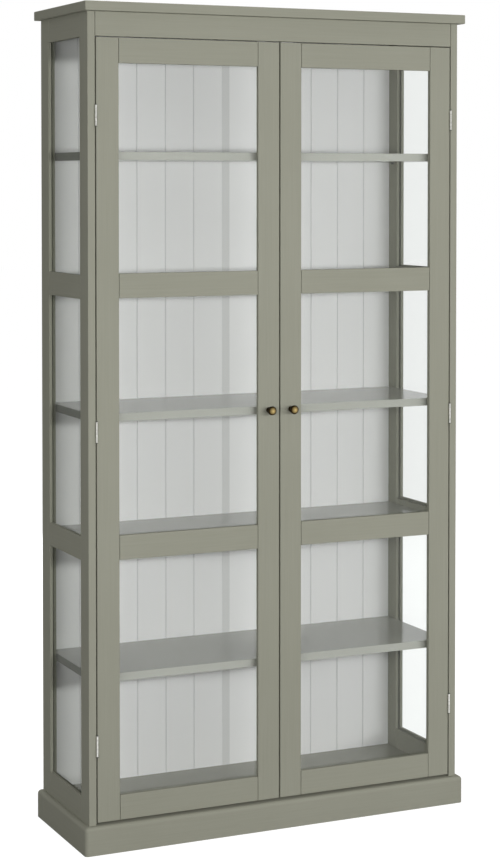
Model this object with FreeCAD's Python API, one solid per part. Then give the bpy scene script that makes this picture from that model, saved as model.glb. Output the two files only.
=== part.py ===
import FreeCAD, Part
import os
from math import asin, cos, sin, sqrt

# A tall glazed cabinet: two framed sides, a framed pair of hinged doors, six shelf spaces.
# Millimetres, +Z up, +Y towards the back. The origin is under the middle of the whole box.
# Depths are first counted from the carcass's front face, and front_y then places that face.

Vector = FreeCAD.Vector

# ---- overall sizes ----
cabinet_height = 1960.0
carcass_width = 972.0
carcass_depth = 322.0

# ---- top board ----
top_thickness = 22.0
top_side_overhang = 12.0
top_front_overhang = 19.0
top_back_overhang = 17.0
top_ease = 2.0

# ---- skirting round the foot ----
skirting_height = 66.0
skirting_thickness = 14.0
skirting_round = 9.0

# ---- side frames ----
side_thickness = 18.0
side_lip = 7.5
side_post_width = 53.0
side_end_rail = 56.0
side_bottom_rail_top = 122.5
side_mid_rail = 55.5

# ---- doors ----
door_thickness = 20.0
door_lip = 10.0
door_stile = 55.0
door_end_rail = 58.0
door_mid_rail = 57.0
door_rail_rise = 3.7
door_foot_gap = 5.5
door_top_gap = 2.5
door_side_gap = 3.0
door_meeting_gap = 3.5

# ---- glazing, the same in sides and doors ----
glass_thickness = 3.0
glass_rebate = 8.0
glass_clearance = 0.5
bead_set_back = 4.5

# ---- cross rails and shelves ----
cross_rail_thickness = 18.0
bottom_board_thickness = 18.0
bottom_board_rise = 3.5
shelf_thickness = 19.0
end_space = 319.7
shelf_front_gap = 2.0
loose_shelf_end_gap = 1.0
loose_shelf_back_gap = 1.5
dowel_depth_in_frame = 14.0
dowel_length = 34.0
dowel_radius = 4.0
dowel_edge = 16.0
shelf_dowel_inset = 80.0
pin_radius = 2.5
pin_depth = 10.0
pin_reach = 8.0
pin_end_ease = 0.8

# ---- back ----
back_panel_thickness = 5.0
back_rebate_depth = 6.5
back_rebate_width = 8.0
back_panel_clearance = 0.5
groove_first = 87.7
groove_pitch = 76.3
groove_width = 3.6
groove_depth = 2.2
strip_width = 20.0
strip_flange = 0.8
strip_web = 2.0
strip_notch_clearance = 0.4

# ---- hinges ----
hinge_height = 48.0
hinge_end_distance = 178.5
hinge_leaf = 1.2
hinge_leaf_set_back = 3.0
barrel_radius = 2.5
barrel_stand_off = 2.9
barrel_gap = 0.5
barrel_parts = 5
frame_knuckles = (0, 2, 4)
door_knuckles = (1, 3)
hinge_pin_radius = 1.25
hinge_pin_clearance = 0.05
hinge_head_radius = 2.3
hinge_head = 2.0
hinge_head_ease = 0.7
hinge_screw_inset = 9.0
hinge_screw_depth = 10.5

# ---- knobs ----
knob_height = 1006.0
knob_reach = 26.0
knob_head_radius = 10.8
knob_rim_height = 18.8
knob_dome_radius = 14.0
knob_dome_edge = 9.4
knob_throat_height = 12.6
knob_neck_radius = 4.2
knob_foot_radius = 6.6
knob_foot_thickness = 2.6
knob_foot_chamfer = 0.8
knob_bolt_radius = 2.0
knob_bolt_grip = 9.0
knob_bolt_head_radius = 3.8
knob_bolt_head = 2.4
knob_bolt_sink = 0.4

# ---- magnetic catches and their plates ----
catch_width = 36.0
catch_from_middle = 14.0
catch_foot_overlap = 0.5
catch_foot_height = 28.0
catch_body_depth = 12.5
catch_body_drop = 21.0
catch_case_rise = 4.0
catch_screw_inset = 8.0
catch_ease = 0.6
keeper_width = 24.0
keeper_height = 14.0
keeper_thickness = 1.2
keeper_gap = 0.3
keeper_screw_inset = 5.0

# ---- countersunk screws ----
screw_radius = 1.5
screw_head_radius = 2.6
screw_length = 14.0
screw_point = 2.5
screw_land = 0.1
recess_width = 0.7
recess_span = 2.6
recess_depth = 0.6

# ---- general ----
wood_ease = 0.8
bead_ease = 0.5
joint_gap = 1.0
joint_depth = 4.0
bore_clearance = 0.05
overcut = 1.0
panel_screws_in_post = 6
panel_screw_inset = 90.0
panel_screw_from_middle = 120.0
panel_screw_from_side = 68.0

# ---- worked out from the sizes above ----
half_width = carcass_width / 2
inner_half = half_width - side_thickness
carcass_top = cabinet_height - top_thickness
header_bottom = carcass_top - side_end_rail
front_y = (knob_reach - carcass_depth - top_back_overhang) / 2
back_panel_face = carcass_depth - back_rebate_depth
bottom_board_top = skirting_height + bottom_board_rise
shelf_front = door_thickness + shelf_front_gap
door_bottom = skirting_height + door_foot_gap
door_top = header_bottom - door_top_gap
door_outer = inner_half - door_side_gap
door_inner = door_meeting_gap / 2
hinge_axis_x = inner_half - door_side_gap / 2
hinge_axis_y = -barrel_stand_off
hinge_centres = (
    door_bottom + hinge_end_distance,
    (door_bottom + door_top) / 2,
    door_top - hinge_end_distance,
)
hinge_leaf_depth = door_thickness - hinge_leaf_set_back
catch_case_front = door_thickness + keeper_thickness + keeper_gap
catch_foot = catch_case_front + catch_foot_overlap - cross_rail_thickness
groove_count = int((inner_half - groove_first) / groove_pitch) + 1
knob_x = door_inner + door_stile / 2
dome_half_angle = asin(knob_dome_edge / knob_dome_radius) / 2

# Five shelves stand at one pitch between equal end spaces; the second and fourth are fixed.
shelf_names = ("low_loose_shelf", "lower_fixed_shelf", "middle_loose_shelf", "upper_fixed_shelf",
               "high_loose_shelf")
lowest_shelf_top = bottom_board_top + end_space + shelf_thickness
shelf_pitch = (carcass_top - end_space - lowest_shelf_top) / (len(shelf_names) - 1)
shelf_tops = {name: lowest_shelf_top + number * shelf_pitch for number, name in enumerate(shelf_names)}
fixed_shelf_tops = {name: top for name, top in shelf_tops.items() if "fixed" in name}
loose_shelf_tops = {name: top for name, top in shelf_tops.items() if "loose" in name}


def rail_levels(lowest, mid_rail, mid_rise, highest):
    """Bottom and top of each rail of a frame; the mid rails lie over the fixed shelves' edges."""
    middles = [top - shelf_thickness / 2 + mid_rise for top in fixed_shelf_tops.values()]
    return [lowest] + [(middle - mid_rail / 2, middle + mid_rail / 2) for middle in middles] + [highest]


side_levels = rail_levels((0, side_bottom_rail_top), side_mid_rail, 0, (header_bottom, carcass_top))
door_levels = rail_levels((door_bottom, door_bottom + door_end_rail), door_mid_rail, door_rail_rise,
                          (door_top - door_end_rail, door_top))
pin_depths = (side_post_width / 2, carcass_depth - side_post_width / 2)
outward = {"left": -1, "right": 1}


# ---- ways of making solids ----

def block(x, y, z, ease=0.0):
    """A box between pairs of limits, y counted from the carcass front, arrises rounded by ease."""
    low = Vector(min(x), front_y + min(y), min(z))
    solid = Part.makeBox(abs(x[1] - x[0]), abs(y[1] - y[0]), abs(z[1] - z[0]), low)
    if ease:
        solid = solid.makeFillet(ease, solid.Edges)
    return solid


def turned(profile, place, direction):
    """A solid turned from (radius, height) points about its axis, set at a place and pointed."""
    points = [Vector(radius, 0, height) for radius, height in profile]
    solid = Part.Face(Part.makePolygon(points + points[:1])).revolve(Vector(), Vector(0, 0, 1), 360)
    solid.Placement = FreeCAD.Placement(place, FreeCAD.Rotation(Vector(0, 0, 1), direction))
    return solid


def turned_line(start, end):
    """A straight edge of a turned outline, between two (radius, height) points."""
    return Part.makeLine(Vector(start[0], 0, start[1]), Vector(end[0], 0, end[1]))


def turned_arc(start, middle, end):
    """A round edge of a turned outline, through three (radius, height) points."""
    return Part.Arc(*[Vector(radius, 0, height) for radius, height in (start, middle, end)]).toShape()


def rod(radius, start, direction, length, ease=0.0):
    """A round rod from a start point along a direction, its end arrises rounded by ease."""
    solid = Part.makeCylinder(radius, length, start, direction)
    if ease:
        ends = [edge for edge in solid.Edges if edge.Closed]
        solid = solid.makeFillet(ease, ends)
    return solid


def mirrored(solid):
    """The same solid on the other side of the cabinet's middle plane."""
    return solid.mirror(Vector(), Vector(1, 0, 0))


def both_sides(solids):
    """Right-hand solids followed by their left-hand copies."""
    return list(solids) + [mirrored(solid) for solid in solids]


def drilled(piece, bores):
    """The piece with every bore that reaches it cut out."""
    near = [bore for bore in bores if piece.BoundBox.intersect(bore.BoundBox)]
    return piece.cut(near) if near else piece


def joined(solids):
    """One solid fused from several that meet."""
    return solids[0].fuse(solids[1:]).removeSplitter()


# ---- fasteners ----

def screw(place, direction):
    """A countersunk wood screw with a cross recess, its head flush at a place, driven along direction."""
    taper = screw_land + screw_head_radius - screw_radius
    body = turned([
        (0, 0),
        (screw_head_radius, 0),
        (screw_head_radius, screw_land),
        (screw_radius, taper),
        (screw_radius, screw_length - screw_point),
        (0, screw_length),
    ], place, direction)
    slot = Part.makeBox(recess_span, recess_width, 2 * recess_depth,
                        Vector(-recess_span / 2, -recess_width / 2, -recess_depth))
    pointed = FreeCAD.Placement(place, FreeCAD.Rotation(Vector(0, 0, 1), direction))
    for turn in (0, 90):
        cutter = slot.copy()
        cutter.rotate(Vector(), Vector(0, 0, 1), turn)
        cutter.Placement = pointed.multiply(cutter.Placement)
        body = body.cut(cutter)
    return body


def screw_bore(place, direction):
    """The countersunk hole that a screw fills, a little larger all round."""
    taper = screw_land + screw_head_radius - screw_radius
    return turned([
        (0, -overcut),
        (screw_head_radius + bore_clearance, -overcut),
        (screw_head_radius + bore_clearance, screw_land),
        (screw_radius + bore_clearance, taper),
        (screw_radius + bore_clearance, screw_length),
        (0, screw_length),
    ], place, direction)


def dowel_places():
    """Where a dowel crosses the right-hand side frame's inner face, as (depth, height)."""
    rail_middle = cross_rail_thickness / 2
    for height in (header_bottom + dowel_edge, carcass_top - dowel_edge):
        yield rail_middle, height
    for height in (dowel_edge, skirting_height - dowel_edge):
        yield rail_middle, height
    yield carcass_depth - rail_middle, (bottom_board_top - bottom_board_thickness) / 2
    board_middles = [bottom_board_top - bottom_board_thickness / 2]
    board_middles += [top - shelf_thickness / 2 for top in fixed_shelf_tops.values()]
    for height in board_middles:
        for depth in (shelf_dowel_inset, carcass_depth - shelf_dowel_inset):
            yield depth, height


def dowel(depth, height, clearance=0.0):
    """A dowel between a side frame and the board or rail that butts against it."""
    start = Vector(inner_half + dowel_depth_in_frame + clearance, front_y + depth, height)
    return rod(dowel_radius + clearance, start, Vector(-1, 0, 0), dowel_length + 2 * clearance,
               0 if clearance else bead_ease)


def shelf_pin(depth, top, clearance=0.0):
    """A pin in a post that a loose shelf lies on."""
    centre_height = top - shelf_thickness - pin_radius
    start = Vector(inner_half + pin_depth + clearance, front_y + depth, centre_height)
    return rod(pin_radius + clearance, start, Vector(-1, 0, 0), pin_depth + pin_reach + 2 * clearance,
               0 if clearance else pin_end_ease)


def panel_screw_places():
    """Where the back panel's screws enter, on the right-hand half of its back."""
    back = front_y + back_panel_face + back_panel_thickness
    post_x = inner_half + back_rebate_width / 2
    span = carcass_top - bottom_board_top - 2 * panel_screw_inset
    for number in range(panel_screws_in_post):
        height = bottom_board_top + panel_screw_inset + span * number / (panel_screws_in_post - 1)
        yield Vector(post_x, back, height)
    heights = [bottom_board_top - bottom_board_thickness / 2]
    heights += [top - shelf_thickness / 2 for top in fixed_shelf_tops.values()]
    for height in heights:
        for x in (panel_screw_from_middle, inner_half - panel_screw_from_side):
            yield Vector(x, back, height)


def hinge_screw_heights():
    """Heights of the screws in every hinge leaf."""
    for centre in hinge_centres:
        for step in (-1, 1):
            yield centre + step * (hinge_height / 2 - hinge_screw_inset)


def catch_screw_places():
    """Where the screws of the right-hand catch enter its foot."""
    height = header_bottom + catch_foot_height - catch_screw_inset
    for x in (catch_from_middle + catch_screw_inset, catch_from_middle + catch_width - catch_screw_inset):
        yield Vector(x, front_y + cross_rail_thickness + catch_foot, height)


def keeper_centre():
    """The middle of the right-hand door's keeper plate, as (x, height)."""
    return catch_from_middle + catch_width / 2, header_bottom - catch_body_drop / 2 - door_top_gap


def keeper_screw_places():
    """Where the screws of the right-hand door's keeper plate enter."""
    x, height = keeper_centre()
    for step in (-1, 1):
        yield Vector(x + step * (keeper_width / 2 - keeper_screw_inset),
                     front_y + door_thickness + keeper_thickness, height)


right_frame_screws = [(Vector(inner_half - hinge_leaf, front_y + hinge_screw_depth, height), Vector(1, 0, 0))
                      for height in hinge_screw_heights()]
right_door_screws = [(Vector(door_outer + hinge_leaf, front_y + hinge_screw_depth, height), Vector(-1, 0, 0))
                     for height in hinge_screw_heights()]
right_door_screws += [(place, Vector(0, -1, 0)) for place in keeper_screw_places()]
right_carcass_screws = right_frame_screws + [(place, Vector(0, -1, 0)) for place in catch_screw_places()]
right_carcass_screws += [(place, Vector(0, -1, 0)) for place in panel_screw_places()]


# ---- glazed frames, made alike for a side and for a door ----

def side_place(u, v, w, ease=0.0):
    """A block in the right-hand side frame: u runs back, v runs in from the outer face."""
    return block((half_width - v[0], half_width - v[1]), u, w, ease)


def door_place(u, v, w, ease=0.0):
    """A block in the right-hand door: u runs across, v runs in from the front face."""
    return block(u, v, w, ease)


def shouldered(place, u, v, w):
    """A rail whose core meets its neighbours while its faces stop short, so each joint shows a line."""
    body = place((u[0] + joint_gap, u[1] - joint_gap), v, w, wood_ease)
    core = place(u, (v[0] + joint_depth, v[1] - joint_depth), (w[0] + joint_depth, w[1] - joint_depth))
    return joined([body, core])


def glazed_frame(place, u, heights, stile, levels, thickness, lip):
    """Two stiles, the rails between them, and in each opening a pane and its four beads."""
    near, far = u[0] + stile, u[1] - stile
    through = (0, thickness)
    stiles = [place((u[0], near), through, heights, wood_ease),
              place((far, u[1]), through, heights, wood_ease)]
    rails = [shouldered(place, (near, far), through, level) for level in levels]
    panes, beads = [], []
    rebate_u = (near - glass_rebate, far + glass_rebate)
    bead_v = (lip + glass_thickness, thickness)
    for below, above in zip(levels, levels[1:]):
        rebate_w = (below[1] - glass_rebate, above[0] + glass_rebate)
        rebate = place(rebate_u, (lip, thickness + overcut), rebate_w)
        stiles = [piece.cut(rebate) for piece in stiles]
        rails = [drilled(piece, [rebate]) for piece in rails]
        panes.append(place((rebate_u[0] + glass_clearance, rebate_u[1] - glass_clearance),
                           (lip, lip + glass_thickness),
                           (rebate_w[0] + glass_clearance, rebate_w[1] - glass_clearance)))
        inner_u = (near - bead_set_back, far + bead_set_back)
        beads.append(place((rebate_u[0], inner_u[0]), bead_v, rebate_w, bead_ease))
        beads.append(place((inner_u[1], rebate_u[1]), bead_v, rebate_w, bead_ease))
        beads.append(place(inner_u, bead_v, (rebate_w[0], below[1] - bead_set_back), bead_ease))
        beads.append(place(inner_u, bead_v, (above[0] + bead_set_back, rebate_w[1]), bead_ease))
    return stiles, rails, panes, beads


# ---- hinges ----

def barrel_span(centre, number):
    """Bottom and height of one knuckle of a hinge's barrel."""
    pitch = hinge_height / barrel_parts
    return centre - hinge_height / 2 + number * pitch + barrel_gap / 2, pitch - barrel_gap


def hinge_leaf_solid(centre, inner_x, outer_x, numbers):
    """A leaf with its own knuckles: the plate lies between two x limits in the gap beside the door."""
    half = hinge_height / 2
    parts = [block((inner_x, outer_x), (0, hinge_leaf_depth), (centre - half, centre + half))]
    for number in numbers:
        low, length = barrel_span(centre, number)
        axis = Vector(hinge_axis_x, front_y + hinge_axis_y, low)
        parts.append(Part.makeCylinder(barrel_radius, length, axis))
        parts.append(block((inner_x, outer_x), (hinge_axis_y, overcut), (low, low + length)))
    bore = Part.makeCylinder(hinge_pin_radius + hinge_pin_clearance, hinge_height,
                             Vector(hinge_axis_x, front_y + hinge_axis_y, centre - half))
    return joined(parts).cut(bore)


def hinge_pin(centre):
    """A hinge pin with a button head at each end."""
    x, y = hinge_axis_x, front_y + hinge_axis_y
    reach = hinge_height / 2
    shaft = Part.makeCylinder(hinge_pin_radius, 2 * reach, Vector(x, y, centre - reach))
    heads = [rod(hinge_head_radius, Vector(x, y, low), Vector(0, 0, 1), hinge_head, hinge_head_ease)
             for low in (centre - reach - hinge_head, centre + reach)]
    return joined([shaft] + heads)


# ---- knobs ----

def knob():
    """The right-hand knob: a foot, a waisted neck and a domed round head, bored for its bolt."""
    foot_top = (knob_foot_radius - knob_foot_chamfer, knob_foot_thickness)
    neck_middle = (knob_neck_radius, (knob_foot_thickness + knob_throat_height) / 2)
    throat = (foot_top[0], knob_throat_height)
    dome_drop = knob_dome_radius - sqrt(knob_dome_radius ** 2 - knob_dome_edge ** 2)
    dome_start = (knob_dome_edge, knob_reach - dome_drop)
    rim_start = (knob_dome_edge, 2 * knob_rim_height - dome_start[1])
    dome_middle = (knob_dome_radius * sin(dome_half_angle),
                   knob_reach - knob_dome_radius * (1 - cos(dome_half_angle)))
    crown = (0, knob_reach)
    edges = [
        turned_line((0, 0), (knob_foot_radius, 0)),
        turned_line((knob_foot_radius, 0), (knob_foot_radius, knob_foot_thickness - knob_foot_chamfer)),
        turned_line((knob_foot_radius, knob_foot_thickness - knob_foot_chamfer), foot_top),
        turned_arc(foot_top, neck_middle, throat),
        turned_line(throat, rim_start),
        turned_arc(rim_start, (knob_head_radius, knob_rim_height), dome_start),
        turned_arc(dome_start, dome_middle, crown),
        turned_line(crown, (0, 0)),
    ]
    solid = Part.Face(Part.Wire(edges)).revolve(Vector(), Vector(0, 0, 1), 360)
    solid.Placement = FreeCAD.Placement(Vector(knob_x, front_y, knob_height),
                                        FreeCAD.Rotation(Vector(0, 0, 1), Vector(0, -1, 0)))
    return solid.cut(knob_bolt(bore_clearance))


def knob_bolt(clearance=0.0):
    """The bolt that holds a knob, its head sunk in the back of the stile."""
    head_start = front_y + door_thickness - knob_bolt_sink + (overcut if clearance else 0)
    head_end = front_y + door_thickness - knob_bolt_sink - knob_bolt_head
    head = Part.makeCylinder(knob_bolt_head_radius + clearance, head_start - head_end,
                             Vector(knob_x, head_start, knob_height), Vector(0, -1, 0))
    shank = Part.makeCylinder(knob_bolt_radius + clearance, head_end - front_y + knob_bolt_grip + clearance,
                              Vector(knob_x, head_end, knob_height), Vector(0, -1, 0))
    return joined([head, shank])


# ---- single boards ----

def top_board():
    reach = half_width + top_side_overhang
    return block((-reach, reach), (-top_front_overhang, carcass_depth + top_back_overhang),
                 (carcass_top, cabinet_height), top_ease)


def cross_rail(depth, heights):
    return shouldered(block, (-inner_half, inner_half), depth, heights)


def skirting():
    """The front, right and left skirting boards, mitred at the front corners."""
    reach = half_width + skirting_thickness
    whole = block((-reach, reach), (-skirting_thickness, carcass_depth), (0, skirting_height))

    def is_rounded(edge):
        """True of the front corners' upright edges and of the top edges at the front and sides."""
        box = edge.BoundBox
        is_back = box.YMin > front_y + carcass_depth / 2
        is_foot = box.ZMax < skirting_height / 2
        return not is_back and not is_foot

    whole = whole.makeFillet(skirting_round, [edge for edge in whole.Edges if is_rounded(edge)])
    inside = block((-half_width, half_width), (0, carcass_depth + overcut),
                   (-overcut, skirting_height + overcut))
    ring = whole.cut(inside)
    tip = skirting_thickness + overcut
    corners = [Vector(half_width, front_y, -overcut),
               Vector(half_width + tip, front_y - tip, -overcut),
               Vector(-half_width - tip, front_y - tip, -overcut),
               Vector(-half_width, front_y, -overcut)]
    front_zone = Part.Face(Part.makePolygon(corners + corners[:1])).extrude(
        Vector(0, 0, skirting_height + 2 * overcut))
    sides = sorted(ring.cut(front_zone).Solids, key=lambda solid: solid.CenterOfMass.x)
    return {"front_skirting": ring.common(front_zone).Solids[0],
            "left_skirting": sides[0],
            "right_skirting": sides[-1]}


def strip_zone():
    """The notch that a board fixed against the back panel needs for the joining strip."""
    half = strip_width / 2 + strip_notch_clearance
    return block((-half, half),
                 (back_panel_face - strip_flange - strip_notch_clearance, back_panel_face + overcut),
                 (0, cabinet_height))


def fixed_board(depth, top, thickness):
    board = block((-inner_half, inner_half), depth, (top - thickness, top), wood_ease)
    return board.cut(strip_zone())


def loose_shelf(top):
    reach = inner_half - loose_shelf_end_gap
    return block((-reach, reach), (shelf_front, back_panel_face - loose_shelf_back_gap),
                 (top - shelf_thickness, top), wood_ease)


def back_panel():
    """The right-hand half of the back, with upright V grooves in its front."""
    panel = block((strip_web / 2, inner_half + back_rebate_width - back_panel_clearance),
                  (back_panel_face, back_panel_face + back_panel_thickness),
                  (bottom_board_top - bottom_board_thickness, carcass_top))
    face = front_y + back_panel_face
    for number in range(groove_count):
        x = groove_first + number * groove_pitch
        section = [Vector(x - groove_width / 2, face, 0),
                   Vector(x, face + groove_depth, 0),
                   Vector(x + groove_width / 2, face, 0),
                   Vector(x, face - groove_depth, 0)]
        groove = Part.Face(Part.makePolygon(section + section[:1])).extrude(Vector(0, 0, cabinet_height))
        panel = panel.cut(groove)
    return panel


def joining_strip():
    """An H-shaped strip that holds the two back panels edge to edge."""
    heights = (bottom_board_top - bottom_board_thickness, carcass_top)
    half = strip_width / 2
    back_face = back_panel_face + back_panel_thickness
    return joined([
        block((-half, half), (back_panel_face - strip_flange, back_panel_face), heights),
        block((-strip_web / 2, strip_web / 2), (back_panel_face, back_face), heights),
        block((-half, half), (back_face, back_face + strip_flange), heights),
    ])


def magnetic_catch():
    """The right-hand catch: a foot on the back of the header and a magnet case hanging behind the door."""
    x = (catch_from_middle, catch_from_middle + catch_width)
    foot = block(x, (cross_rail_thickness, cross_rail_thickness + catch_foot),
                 (header_bottom, header_bottom + catch_foot_height))
    case = block(x, (catch_case_front, catch_case_front + catch_body_depth),
                 (header_bottom - catch_body_drop, header_bottom + catch_case_rise), catch_ease)
    return joined([foot, case])


def keeper_plate():
    """The right-hand door's steel plate for the magnet."""
    x, height = keeper_centre()
    return block((x - keeper_width / 2, x + keeper_width / 2),
                 (door_thickness, door_thickness + keeper_thickness),
                 (height - keeper_height / 2, height + keeper_height / 2))


# ---- the whole cabinet ----

def bores():
    """Every hole that a fastener of the cabinet or of a door fills, on both sides."""
    right = [screw_bore(*place) for place in right_carcass_screws + right_door_screws]
    right += [dowel(depth, height, bore_clearance) for depth, height in dowel_places()]
    right += [shelf_pin(depth, top, bore_clearance)
              for top in loose_shelf_tops.values() for depth in pin_depths]
    right.append(knob_bolt(bore_clearance))
    return both_sides(right)


def side_pieces():
    """The right-hand side frame's posts and rails by name, its panes and its beads."""
    stiles, rails, panes, beads = glazed_frame(
        side_place, (0, carcass_depth), (0, carcass_top), side_post_width, side_levels,
        side_thickness, side_lip)
    back_rebate = block((inner_half - overcut, inner_half + back_rebate_width),
                        (back_panel_face, carcass_depth + overcut), (-overcut, carcass_top + overcut))
    named = dict(zip(("bottom_rail", "lower_rail", "upper_rail", "top_rail"), rails))
    named = {"side_" + name: rail for name, rail in named.items()}
    named["front_post"] = stiles[0]
    named["back_post"] = stiles[1].cut(back_rebate)
    return named, panes, beads


def door_pieces():
    """The right-hand door's pieces by name."""
    stiles, rails, panes, beads = glazed_frame(
        door_place, (door_inner, door_outer), (door_bottom, door_top), door_stile, door_levels,
        door_thickness, door_lip)
    named = dict(zip(("bottom_rail", "lower_rail", "upper_rail", "top_rail"), rails))
    named["meeting_stile"], named["hinge_stile"] = stiles
    named = {name: [piece] for name, piece in named.items()}
    named["panes"] = panes
    named["glazing_beads"] = beads
    named["hinge_leaves"] = [hinge_leaf_solid(centre, door_outer, door_outer + hinge_leaf, door_knuckles)
                             for centre in hinge_centres]
    named["keeper_plate"] = [keeper_plate()]
    named["knob"] = [knob()]
    named["screws"] = [screw(*place) for place in right_door_screws] + [knob_bolt()]
    return {"door_" + name: pieces for name, pieces in named.items()}


def build():
    """Every node of the cabinet by name, each as a list of separate solids."""
    nodes = {"top_board": [top_board()],
             "header_rail": [cross_rail((0, cross_rail_thickness), (header_bottom, carcass_top))],
             "front_bottom_rail": [cross_rail((0, cross_rail_thickness), (0, skirting_height))],
             "back_bottom_rail": [cross_rail((carcass_depth - cross_rail_thickness, carcass_depth),
                                             (0, bottom_board_top - bottom_board_thickness))],
             "bottom_board": [fixed_board((cross_rail_thickness, back_panel_face),
                                          bottom_board_top, bottom_board_thickness)],
             "back_joining_strip": [joining_strip()]}
    for name, solid in skirting().items():
        nodes[name] = [solid]
    for name, top in fixed_shelf_tops.items():
        nodes[name] = [fixed_board((shelf_front, back_panel_face), top, shelf_thickness)]
    for name, top in loose_shelf_tops.items():
        nodes[name] = [loose_shelf(top)]
    named, panes, beads = side_pieces()
    nodes["side_panes"] = both_sides(panes)
    nodes["side_glazing_beads"] = both_sides(beads)
    door = door_pieces()
    panel = back_panel()
    for side, sign in outward.items():
        turn = mirrored if sign < 0 else Part.Shape.copy
        for name, piece in named.items():
            nodes[side + "_" + name] = [turn(piece)]
        for name, pieces in door.items():
            nodes[side + "_" + name] = [turn(piece) for piece in pieces]
        nodes[side + "_back_panel"] = [turn(panel)]
    nodes["frame_hinge_leaves"] = both_sides(
        [hinge_leaf_solid(centre, inner_half - hinge_leaf, inner_half, frame_knuckles)
         for centre in hinge_centres])
    nodes["magnetic_catches"] = both_sides([magnetic_catch()])

    cutters = bores()
    fasteners = ("left_door_screws", "right_door_screws", "left_door_knob", "right_door_knob")
    for name in nodes:
        if name not in fasteners:
            nodes[name] = [drilled(piece, cutters) for piece in nodes[name]]

    nodes["hinge_pins"] = both_sides([hinge_pin(centre) for centre in hinge_centres])
    nodes["cabinet_screws"] = both_sides([screw(*place) for place in right_carcass_screws])
    nodes["carcass_dowels"] = both_sides([dowel(*place) for place in dowel_places()])
    nodes["shelf_pins"] = both_sides([shelf_pin(depth, top)
                                      for top in loose_shelf_tops.values() for depth in pin_depths])
    return nodes


def export(nodes):
    os.makedirs("parts", exist_ok=True)
    for name, pieces in nodes.items():
        solids = [solid for piece in pieces for solid in piece.Solids]
        shape = solids[0] if len(solids) == 1 else Part.makeCompound(solids)
        shape.exportStep("parts/" + name + ".step")
    print(len(nodes), "nodes written")


export(build())
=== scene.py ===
from math import asin, cos, pi, radians, sin, sqrt

import bpy
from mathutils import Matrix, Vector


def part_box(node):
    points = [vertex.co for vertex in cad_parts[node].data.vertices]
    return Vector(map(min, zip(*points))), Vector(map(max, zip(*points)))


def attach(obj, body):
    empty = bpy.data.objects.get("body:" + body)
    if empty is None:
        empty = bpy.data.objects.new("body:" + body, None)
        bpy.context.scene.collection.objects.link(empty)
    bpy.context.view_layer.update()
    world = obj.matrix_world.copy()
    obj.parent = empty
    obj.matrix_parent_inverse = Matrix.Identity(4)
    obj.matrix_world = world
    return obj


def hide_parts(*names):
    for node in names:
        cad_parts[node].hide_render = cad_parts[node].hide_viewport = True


# A tall glazed cabinet in grey-green paint, with a pair of hinged doors and turned brass knobs.
# Metres, +Z up, +Y towards the back. The two knobs are turned here. All other pieces keep the
# frame's shapes and only get their finish here.

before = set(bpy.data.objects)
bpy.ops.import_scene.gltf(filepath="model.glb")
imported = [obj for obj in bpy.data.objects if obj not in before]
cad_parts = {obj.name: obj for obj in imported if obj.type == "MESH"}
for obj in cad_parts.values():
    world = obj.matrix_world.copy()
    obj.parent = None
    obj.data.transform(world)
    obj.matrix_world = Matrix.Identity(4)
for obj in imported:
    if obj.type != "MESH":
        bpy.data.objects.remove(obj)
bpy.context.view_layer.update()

# ---- colours, as linear red, green and blue ----
grey_green = (0.306, 0.306, 0.250)
grey_green_deep = (0.280, 0.280, 0.226)
stone_grey = (0.385, 0.388, 0.345)
stone_grey_deep = (0.365, 0.368, 0.325)
# painted shade for the shelves' ends, the faces turned to the sides
shelf_end_painted_shade = (0.130, 0.135, 0.100)
cool_white = (0.92, 0.915, 0.915)
cool_white_deep = (0.89, 0.885, 0.885)
# the next two are painted shade: a grey for the back boards' grooves, and how much of it is mixed
# in
groove_painted_shade_grey = (0.36, 0.36, 0.36)
groove_shade = 0.3
strip_white = (0.77, 0.77, 0.765)
strip_white_deep = (0.74, 0.74, 0.735)
# the knobs' brass: a rubbed crown with a painted highlight, and patina with painted shade
brass_rubbed_and_highlight = (0.62, 0.46, 0.19)
brass_patina_and_shade = (0.020, 0.013, 0.005)
nickel = (0.72, 0.72, 0.68)
nickel_dull = (0.54, 0.54, 0.50)
pin_steel = (0.16, 0.16, 0.15)
pin_steel_dull = (0.09, 0.09, 0.08)
zinc = (0.62, 0.62, 0.60)
zinc_dull = (0.42, 0.42, 0.41)
catch_white = (0.70, 0.70, 0.67)
catch_white_deep = (0.62, 0.61, 0.57)
beech_pale = (0.60, 0.42, 0.26)
beech_dark = (0.46, 0.29, 0.16)
glass_tint = (0.990, 0.996, 0.993)
glass_tint_slanted = (0.755, 0.763, 0.752)
floor_white = (0.25, 0.25, 0.25)

# ---- textures: scales are in noise cells a metre, reliefs and depths in metres ----
brush_scale_along = 7.0
brush_scale_across = 380.0
brush_relief = 0.00008
lacquer_relief = 0.00001
cloud_scale = 3.5
orange_peel_scale = 400.0
orange_peel_relief = 0.000005
board_fibre_scale = (260.0, 260.0, 14.0)
board_cloud_scale = 2.5
board_relief = 0.00005
# where the painted shade in the grooves begins and where it is full, in metres behind a board's
# face
groove_shade_start = 0.0003
groove_shade_full = 0.0012
glass_wave_scale = 6.0
glass_wave_relief = 0.0004
glass_slant_start = 0.46
glass_slant_full = 0.68
plating_brush_scale = (1500.0, 1500.0, 120.0)
plating_spot_scale = 160.0
plating_relief = 0.00001
brass_mottle_scale = 900.0
brass_relief = 0.00002
brass_crown_depth = 0.004
plastic_grain_scale = 2200.0
plastic_relief = 0.00002
beech_grain_scale = (40.0, 900.0, 900.0)
beech_relief = 0.00005
paper_scale = 300.0
paper_relief = 0.0001

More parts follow.
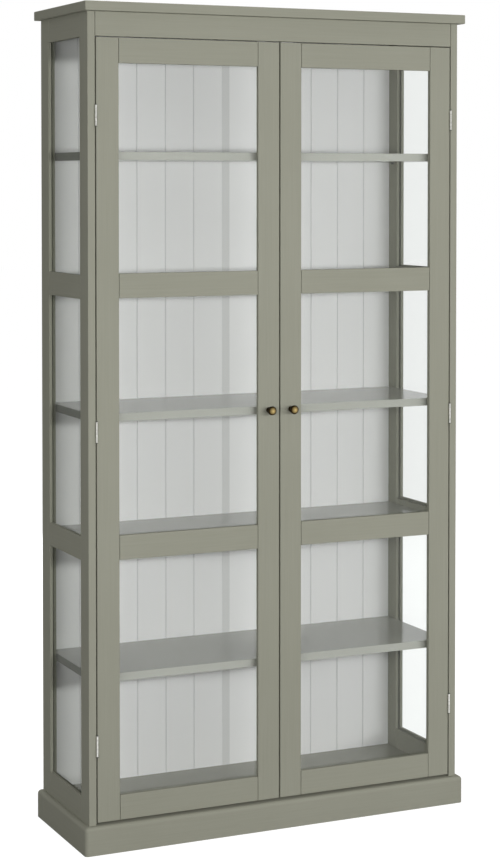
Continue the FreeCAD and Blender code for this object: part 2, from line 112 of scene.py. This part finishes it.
# ---- gloss: a roughness is 0 for a mirror and 1 for matt, and a pair is a texture's range ----
paint_unevenness = 0.04
lacquer_roughness = (0.15, 0.21)
lacquer_gloss = 0.65
shelf_end_roughness = 0.85
board_roughness = (0.55, 0.72)
board_gloss = 0.3
glass_roughness = (0.01, 0.03)
glass_mirrored_straight_on = 0.02
nickel_roughness = (0.2, 0.34)
pin_steel_roughness = (0.3, 0.45)
zinc_roughness = (0.32, 0.48)
brass_roughness = (0.45, 0.24)
plastic_roughness = (0.45, 0.60)
beech_roughness = (0.6, 0.75)

# ---- the doors' knobs ----
knob_reach = 0.026
knob_foot_radius = 0.0066
knob_foot_height = 0.0026
knob_foot_edge = 0.7  # share of the foot's height at which its edge turns inwards
knob_neck_end = 0.9  # radius at both ends of the neck, as a share of the foot's
knob_neck_radius = 0.0042
knob_throat_height = 0.0126
knob_head_radius = 0.0108
knob_rim_height = 0.0188
knob_dome_radius = 0.0140
knob_dome_edge = 0.0094
knob_bend = 0.8  # radius of the bend under the rim, as a share of the dome's edge
knob_bend_drop = 0.0016  # how far the bend lies behind the rim
knob_neck_steps = 8
knob_rim_steps = 10
knob_dome_steps = 10
knob_sides = 64
knob_smooth_angle = 40  # degrees

# ---- light ----
fill_strength = 0.23
side_strength = 0.12
backdrop_strength = 1.0
floor_emission = 0.935
floor_size = 60
floor_height = -0.0005
lamps = {  # tilt is up from straight down and turn is round from +Y, both in degrees
    "key_lamp": dict(place=(2.40, -4.40, 1.54), tilt=90, turn=0, size=(6.8, 0.3), watts=184.0),
    "left_lamp": dict(place=(-3.10, -3.45, 1.50), tilt=90, turn=-42, size=(2.4, 0.3), watts=63.0),
    "back_lamp": dict(place=(0.30, 4.00, 1.60), tilt=90, turn=180, size=(3.0, 3.0), watts=130.0),
    "top_lamp": dict(place=(0.00, 0.00, 4.00), tilt=0, turn=0, size=(0.9, 0.28), watts=27.0),
}

# ---- camera: lens and sensor in millimetres, angles in degrees ----
camera_place = (-2.1147, -4.5573, 1.5503)
camera_lens = 85.89
camera_sensor = 36.0
camera_yaw = 24.83
camera_pitch = 1.8
camera_shift = -0.2142


# ---- node trees ----

def blank_material(name):
    """A material with an empty node tree, its tree and the Object coordinates of what it is on."""
    material = bpy.data.materials.new(name)
    material.use_nodes = True
    tree = material.node_tree
    tree.nodes.clear()
    return material, tree, add(tree, "ShaderNodeTexCoord").outputs["Object"]


def add(tree, kind, inputs=None, **settings):
    """A new node; each input is given a value, or the socket that feeds it."""
    made = tree.nodes.new(kind)
    for name, value in settings.items():
        setattr(made, name, value)
    for name, value in (inputs or {}).items():
        if isinstance(value, bpy.types.NodeSocket):
            tree.links.new(value, made.inputs[name])
        else:
            made.inputs[name].default_value = value
    return made


def noise(tree, place, scale, detail=2.0, roughness=0.5):
    """Noise from 0 to 1 over a place; scale is a number, or three that draw it out one way."""
    if isinstance(scale, tuple):
        place = add(tree, "ShaderNodeMapping", {"Vector": place, "Scale": scale}).outputs["Vector"]
        scale = 1.0
    texture = add(tree, "ShaderNodeTexNoise",
                  {"Vector": place, "Scale": scale, "Detail": detail, "Roughness": roughness})
    return texture.outputs["Fac"]


def between(tree, share, low, high, start=0.0, end=1.0):
    """A number that goes from low to high as share goes from start to end."""
    spread = add(tree, "ShaderNodeMapRange", {
        "Value": share, "From Min": start, "From Max": end, "To Min": low, "To Max": high})
    return spread.outputs["Result"]


def toned(tree, share, dark, light, start=0.3, end=0.7):
    """A colour that goes from dark to light as share goes from start to end."""
    ramp = add(tree, "ShaderNodeValToRGB", {"Fac": share})
    for element, place, colour in zip(ramp.color_ramp.elements, (start, end), (dark, light)):
        element.position = place
        element.color = (*colour, 1.0)
    return ramp.outputs["Color"]


def mixed(tree, share, first, second):
    """The first colour, with a share of the second, which is given as red, green and blue."""
    blend = add(tree, "ShaderNodeMix", {"Factor": share, "A": first, "B": (*second, 1.0)},
                data_type="RGBA")
    return blend.outputs["Result"]


def calculate(tree, operation, first, second=0.0):
    return add(tree, "ShaderNodeMath", {0: first, 1: second}, operation=operation).outputs["Value"]


def averaged(tree, first, second, share=0.5):
    """A share of the first number and the rest of the second."""
    return calculate(tree, "ADD", calculate(tree, "MULTIPLY", first, share),
                     calculate(tree, "MULTIPLY", second, 1 - share))


def bump(tree, height, distance):
    """A surface normal pushed by a height from 0 to 1, over a distance in metres."""
    relief = add(tree, "ShaderNodeBump", {"Height": height, "Distance": distance})
    return relief.outputs["Normal"]


def finished(material, tree, shader):
    add(tree, "ShaderNodeOutputMaterial", {"Surface": shader})
    return material


# ---- finishes ----

def painted_wood(name, along, gloss, rough, relief):
    """Grey-green paint brushed along one axis; relief is the depth of the brush marks in metres."""
    material, tree, place = blank_material(name)
    scale = tuple(brush_scale_along if axis == along else brush_scale_across for axis in "xyz")
    brush = noise(tree, place, scale, detail=3.0, roughness=0.6)
    clouds = noise(tree, place, cloud_scale, detail=3.0)
    tone = averaged(tree, brush, clouds)
    paint = add(tree, "ShaderNodeBsdfPrincipled", {
        "Base Color": toned(tree, tone, grey_green_deep, grey_green, start=0.3, end=0.65),
        "Roughness": between(tree, tone, rough - paint_unevenness, rough + paint_unevenness),
        "Normal": bump(tree, brush, relief),
        "Specular IOR Level": gloss})
    return finished(material, tree, paint.outputs["BSDF"])


def shelf_lacquer():
    """Smooth satin lacquer, matt on the shelf's two ends, which are darkened with painted shade."""
    material, tree, place = blank_material("shelf_lacquer")
    normal = add(tree, "ShaderNodeTexCoord").outputs["Normal"]
    sideways = add(tree, "ShaderNodeSeparateXYZ", {"Vector": normal}).outputs["X"]
    ends = calculate(tree, "ABSOLUTE", sideways)
    clouds = noise(tree, place, cloud_scale, detail=3.0)
    orange_peel = noise(tree, place, orange_peel_scale, detail=1.0)
    face_colour = toned(tree, clouds, stone_grey_deep, stone_grey)
    face_roughness = between(tree, clouds, *lacquer_roughness)
    lacquer = add(tree, "ShaderNodeBsdfPrincipled", {
        # the ends take a darker colour: painted shade, not the lacquer's own colour
        "Base Color": mixed(tree, ends, face_colour, shelf_end_painted_shade),
        "Roughness": between(tree, ends, face_roughness, shelf_end_roughness),
        "Normal": bump(tree, orange_peel, orange_peel_relief),
        "Specular IOR Level": lacquer_gloss})
    return finished(material, tree, lacquer.outputs["BSDF"])


def white_board(name, deep, light, face):
    """Matt white paint on board, with a faint upright texture, and painted shade greying the
    grooves that lie just behind its face's Y.
    """
    material, tree, place = blank_material(name)
    depth = add(tree, "ShaderNodeSeparateXYZ", {"Vector": place}).outputs["Y"]
    # painted shade: what lies behind the board's face, the grooves, is greyed as if in shade
    groove = between(tree, depth, 0.0, groove_shade,
                     start=face + groove_shade_start, end=face + groove_shade_full)
    fibres = noise(tree, place, board_fibre_scale, detail=3.0, roughness=0.6)
    clouds = noise(tree, place, board_cloud_scale)
    face_colour = toned(tree, clouds, deep, light, start=0.2, end=0.65)
    paint = add(tree, "ShaderNodeBsdfPrincipled", {
        "Base Color": mixed(tree, groove, face_colour, groove_painted_shade_grey),
        "Roughness": between(tree, fibres, *board_roughness),
        "Normal": bump(tree, fibres, board_relief),
        "Specular IOR Level": board_gloss})
    return finished(material, tree, paint.outputs["BSDF"])


def clear_glass(name, slanted_tint, edge_on, late):
    """A clear pane: light goes straight through, and less of it the flatter the pane is met.

    edge_on is the share mirrored by a pane met edge-on; the higher late is, the later the
    mirroring sets in as the pane turns away.
    """
    material, tree, place = blank_material(name)
    facing = add(tree, "ShaderNodeLayerWeight", {"Blend": 0.5}).outputs["Facing"]
    mirrored = between(tree, calculate(tree, "POWER", facing, late),
                       glass_mirrored_straight_on, edge_on)
    tint = toned(tree, facing, glass_tint, slanted_tint,
                 start=glass_slant_start, end=glass_slant_full)
    clear = add(tree, "ShaderNodeBsdfTransparent", {"Color": tint})
    waves = noise(tree, place, glass_wave_scale, detail=1.0)
    gloss = add(tree, "ShaderNodeBsdfAnisotropic", {
        "Roughness": between(tree, waves, *glass_roughness),
        "Normal": bump(tree, waves, glass_wave_relief)})
    pane = add(tree, "ShaderNodeMixShader", {
        "Fac": mirrored, 1: clear.outputs["BSDF"], 2: gloss.outputs["BSDF"]})
    return finished(material, tree, pane.outputs["Shader"])


def plated_steel(name, dull, bright, roughness):
    """Plated steel, its tone and gloss a little uneven and finely brushed."""
    material, tree, place = blank_material(name)
    brush = noise(tree, place, plating_brush_scale, detail=3.0, roughness=0.6)
    spots = noise(tree, place, plating_spot_scale, detail=3.0)
    metal = add(tree, "ShaderNodeBsdfPrincipled", {
        "Base Color": toned(tree, spots, dull, bright),
        "Metallic": 1.0,
        "Roughness": between(tree, brush, *roughness),
        "Normal": bump(tree, brush, plating_relief)})
    return finished(material, tree, metal.outputs["BSDF"])


def brass_patina_and_painted_light(name, centre):
    """Brass lighter on the crown, partly rubbed wear and partly a painted highlight, and nearly
    black in the neck's hollow and under the rim, partly patina and partly painted shade.
    """
    material, tree, place = blank_material(name)
    local = add(tree, "ShaderNodeVectorMath", {0: place, 1: centre}, operation="SUBTRACT")
    apart = add(tree, "ShaderNodeSeparateXYZ", {"Vector": local.outputs["Vector"]})
    squares = [calculate(tree, "POWER", apart.outputs[axis], 2.0) for axis in ("X", "Z")]
    from_axis = calculate(tree, "SQRT", calculate(tree, "ADD", *squares))
    inwards = between(tree, from_axis, 0.0, 1.0, start=knob_head_radius, end=0.0)
    forwards = between(tree, apart.outputs["Y"], 0.0, 1.0,
                       start=-knob_rim_height, end=-knob_rim_height - brass_crown_depth)
    mottle = noise(tree, local.outputs["Vector"], brass_mottle_scale, detail=4.0, roughness=0.6)
    # the bright crown is partly a painted highlight; the dark rest is partly painted shade
    crown = calculate(tree, "MULTIPLY", inwards, forwards)
    rubbed = averaged(tree, crown, mottle, share=0.75)
    brass = add(tree, "ShaderNodeBsdfPrincipled", {
        "Base Color": toned(tree, rubbed, brass_patina_and_shade, brass_rubbed_and_highlight, start=0.25, end=0.9),
        "Metallic": 1.0,
        "Roughness": between(tree, rubbed, *brass_roughness),
        "Normal": bump(tree, mottle, brass_relief)})
    return finished(material, tree, brass.outputs["BSDF"])


def moulded_plastic():
    """White moulded plastic with a fine spark-eroded texture."""
    material, tree, place = blank_material("white_moulded_plastic")
    grain = noise(tree, place, plastic_grain_scale)
    shell = add(tree, "ShaderNodeBsdfPrincipled", {
        "Base Color": toned(tree, grain, catch_white_deep, catch_white),
        "Roughness": between(tree, grain, *plastic_roughness),
        "Normal": bump(tree, grain, plastic_relief)})
    return finished(material, tree, shell.outputs["BSDF"])


def bare_beech():
    """Unpainted beech, its grain along X as in a dowel between two boards."""
    material, tree, place = blank_material("bare_beech")
    grain = noise(tree, place, beech_grain_scale, detail=4.0, roughness=0.6)
    wood = add(tree, "ShaderNodeBsdfPrincipled", {
        "Base Color": toned(tree, grain, beech_dark, beech_pale),
        "Roughness": between(tree, grain, *beech_roughness),
        "Normal": bump(tree, grain, beech_relief)})
    return finished(material, tree, wood.outputs["BSDF"])


# ---- finish of each frame piece ----

def dress(names, material):
    """Every slot of each named piece takes the material."""
    for name in names:
        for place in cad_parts[name].material_slots:
            place.material = material


def named(*endings):
    """Names of the frame's pieces that end in one of these."""
    return [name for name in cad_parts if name.endswith(endings)]


def dress_cabinet():
    """Each frame piece's finish; a later line takes over from an earlier one."""
    matt = dict(gloss=0.02, rough=0.7, relief=brush_relief)
    upright = painted_wood("paint_brushed_upright", "z", **matt)
    across = painted_wood("paint_brushed_across", "x", **matt)
    back_to_front = painted_wood("paint_brushed_back_to_front", "y", **matt)
    dress(named("_post", "_stile", "_glazing_beads"), upright)
    dress(named("_rail", "_board", "front_skirting"), across)
    dress([name for name in named("_rail") if "_side_" in name], back_to_front)
    dress(named("left_skirting", "right_skirting"), back_to_front)
    dress(named("_shelf"), shelf_lacquer())
    dress(["bottom_board"],
          painted_wood("board_lacquer", "x", gloss=0.35, rough=0.25, relief=lacquer_relief))
    panel_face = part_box("left_back_panel")[0].y
    strip_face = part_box("back_joining_strip")[0].y
    dress(named("_back_panel"),
          white_board("white_back_paint", cool_white_deep, cool_white, panel_face))
    dress(["back_joining_strip"],
          white_board("joining_strip_paint", strip_white_deep, strip_white, strip_face))
    dress(named("_door_panes"), clear_glass("door_glass", glass_tint, edge_on=1.0, late=5.0))
    dress(["side_panes"], clear_glass("side_glass", glass_tint_slanted, edge_on=0.5, late=8.0))
    dress(named("hinge_leaves"),
          plated_steel("bright_nickel_plate", nickel_dull, nickel, nickel_roughness))
    dress(["hinge_pins"],
          plated_steel("dull_pin_steel", pin_steel_dull, pin_steel, pin_steel_roughness))
    dress(named("_screws", "keeper_plate", "shelf_pins"),
          plated_steel("zinc_plate", zinc_dull, zinc, zinc_roughness))
    dress(["magnetic_catches"], moulded_plastic())
    dress(["carcass_dowels"], bare_beech())


# ---- knobs ----

def knob_profile():
    """(radius, height) rings of a knob, from its foot to just below its crown."""
    neck_end_radius = knob_foot_radius * knob_neck_end
    rings = [(knob_foot_radius, 0.0), (knob_foot_radius, knob_foot_height * knob_foot_edge),
             (neck_end_radius, knob_foot_height)]
    for step in range(1, knob_neck_steps):
        share = step / knob_neck_steps
        waist = sin(share * pi)
        rings.append((neck_end_radius - (neck_end_radius - knob_neck_radius) * waist,
                      knob_foot_height + share * (knob_throat_height - knob_foot_height)))
    rings.append((neck_end_radius, knob_throat_height))
    dome_rise = knob_dome_radius - sqrt(knob_dome_radius ** 2 - knob_dome_edge ** 2)
    rim_half = knob_reach - dome_rise - knob_rim_height
    rings.append((knob_dome_edge * knob_bend, knob_rim_height - rim_half - knob_bend_drop))
    for step in range(knob_rim_steps + 1):
        turn = -pi / 2 + pi * step / knob_rim_steps
        rings.append((knob_dome_edge + (knob_head_radius - knob_dome_edge) * cos(turn),
                      knob_rim_height + rim_half * sin(turn)))
    edge_angle = asin(knob_dome_edge / knob_dome_radius)
    for step in range(1, knob_dome_steps):
        angle = edge_angle * (1 - step / knob_dome_steps)
        rings.append((knob_dome_radius * sin(angle),
                      knob_reach - knob_dome_radius * (1 - cos(angle))))
    return rings


def turn_knob(side, node):
    """A knob turned about its bolt: a ring drawn out step by step from the door's face."""
    low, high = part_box(node)
    centre = ((low.x + high.x) / 2, high.y, (low.z + high.z) / 2)
    rings = knob_profile()
    bpy.ops.object.select_all(action="DESELECT")
    bpy.ops.mesh.primitive_circle_add(vertices=knob_sides, radius=rings[0][0], fill_type="NGON",
                                      location=centre, rotation=(pi / 2, 0, 0))
    knob = bpy.context.object
    knob.name = "turned_knob_" + side
    bpy.ops.object.transform_apply(location=True, rotation=True, scale=True)
    bpy.ops.object.mode_set(mode="EDIT")
    bpy.ops.mesh.select_all(action="SELECT")
    for (radius, height), (next_radius, next_height) in zip(rings, rings[1:]):
        bpy.ops.mesh.extrude_region_move(
            TRANSFORM_OT_translate={"value": (0, height - next_height, 0)})
        grow = next_radius / radius
        bpy.ops.transform.resize(value=(grow, 1, grow),
                                 center_override=(centre[0], centre[1] - next_height, centre[2]))
    last_height = rings[-1][1]
    bpy.ops.mesh.extrude_region_move(
        TRANSFORM_OT_translate={"value": (0, last_height - knob_reach, 0)})
    bpy.ops.mesh.merge(type="CENTER")
    bpy.ops.mesh.select_all(action="SELECT")
    bpy.ops.mesh.normals_make_consistent(inside=False)
    bpy.ops.object.mode_set(mode="OBJECT")
    bpy.ops.object.shade_smooth_by_angle(angle=radians(knob_smooth_angle))
    knob.data.materials.append(brass_patina_and_painted_light("brass_patina_and_painted_light_" + side, centre))
    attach(knob, side + "_door")
    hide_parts(node)


# ---- studio ----

def seen_directly(tree):
    """1 for what is seen, straight on, mirrored or through glass; 0 for light on the cabinet."""
    path = add(tree, "ShaderNodeLightPath")
    seen = calculate(tree, "MAXIMUM", path.outputs["Is Camera Ray"], path.outputs["Is Glossy Ray"])
    return calculate(tree, "MAXIMUM", seen, path.outputs["Is Transmission Ray"])


def make_floor():
    """A white floor that keeps the cabinet's shadow and runs out into the white behind."""
    bpy.ops.mesh.primitive_plane_add(size=floor_size, location=(0, 0, floor_height))
    floor = bpy.context.object
    floor.name = "studio_floor"
    material, tree, place = blank_material("floor_white")
    paper = noise(tree, place, paper_scale)
    matt = add(tree, "ShaderNodeBsdfDiffuse", {
        "Color": (*floor_white, 1.0), "Normal": bump(tree, paper, paper_relief)})
    glow = add(tree, "ShaderNodeEmission", {
        "Strength": calculate(tree, "MULTIPLY", seen_directly(tree), floor_emission)})
    both = add(tree, "ShaderNodeAddShader", {0: matt.outputs["BSDF"], 1: glow.outputs["Emission"]})
    floor.data.materials.append(finished(material, tree, both.outputs["Shader"]))


def make_world():
    """Even light with more of it from the left and the right, all seen as plain white."""
    world = bpy.data.worlds.new("studio")
    bpy.context.scene.world = world
    world.use_nodes = True
    tree = world.node_tree
    tree.nodes.clear()
    direction = add(tree, "ShaderNodeTexCoord").outputs["Generated"]
    sideways = add(tree, "ShaderNodeSeparateXYZ", {"Vector": direction}).outputs["X"]
    light = between(tree, calculate(tree, "POWER", sideways, 2.0),
                    fill_strength, fill_strength + side_strength)
    strength = between(tree, seen_directly(tree), light, backdrop_strength)
    sky = add(tree, "ShaderNodeBackground", {"Color": (1.0, 1.0, 1.0, 1.0), "Strength": strength})
    add(tree, "ShaderNodeOutputWorld", {"Surface": sky.outputs["Background"]})


def make_lamp(name, place, tilt, turn, size, watts):
    """A soft lamp that isn't itself seen or mirrored."""
    bpy.ops.object.light_add(type="AREA", location=place,
                             rotation=(radians(tilt), 0, radians(turn)))
    lamp = bpy.context.object
    lamp.name = name
    lamp.data.shape = "RECTANGLE"
    lamp.data.size, lamp.data.size_y = size
    lamp.data.energy = watts
    lamp.visible_glossy = False
    lamp.visible_camera = False


def make_camera():
    bpy.ops.object.camera_add(location=camera_place,
                              rotation=(radians(90 - camera_pitch), 0, radians(-camera_yaw)))
    camera = bpy.context.object
    camera.name = "studio_camera"
    camera.data.lens = camera_lens
    camera.data.sensor_width = camera_sensor
    camera.data.shift_y = camera_shift
    bpy.context.scene.camera = camera


# ---- the whole scene ----


make_camera()
dress_cabinet()
for side in ("left", "right"):
    turn_knob(side, side + "_door_knob")
make_floor()
make_world()
for name, settings in lamps.items():
    make_lamp(name, **settings)
bpy.context.scene.view_settings.view_transform = "Standard"
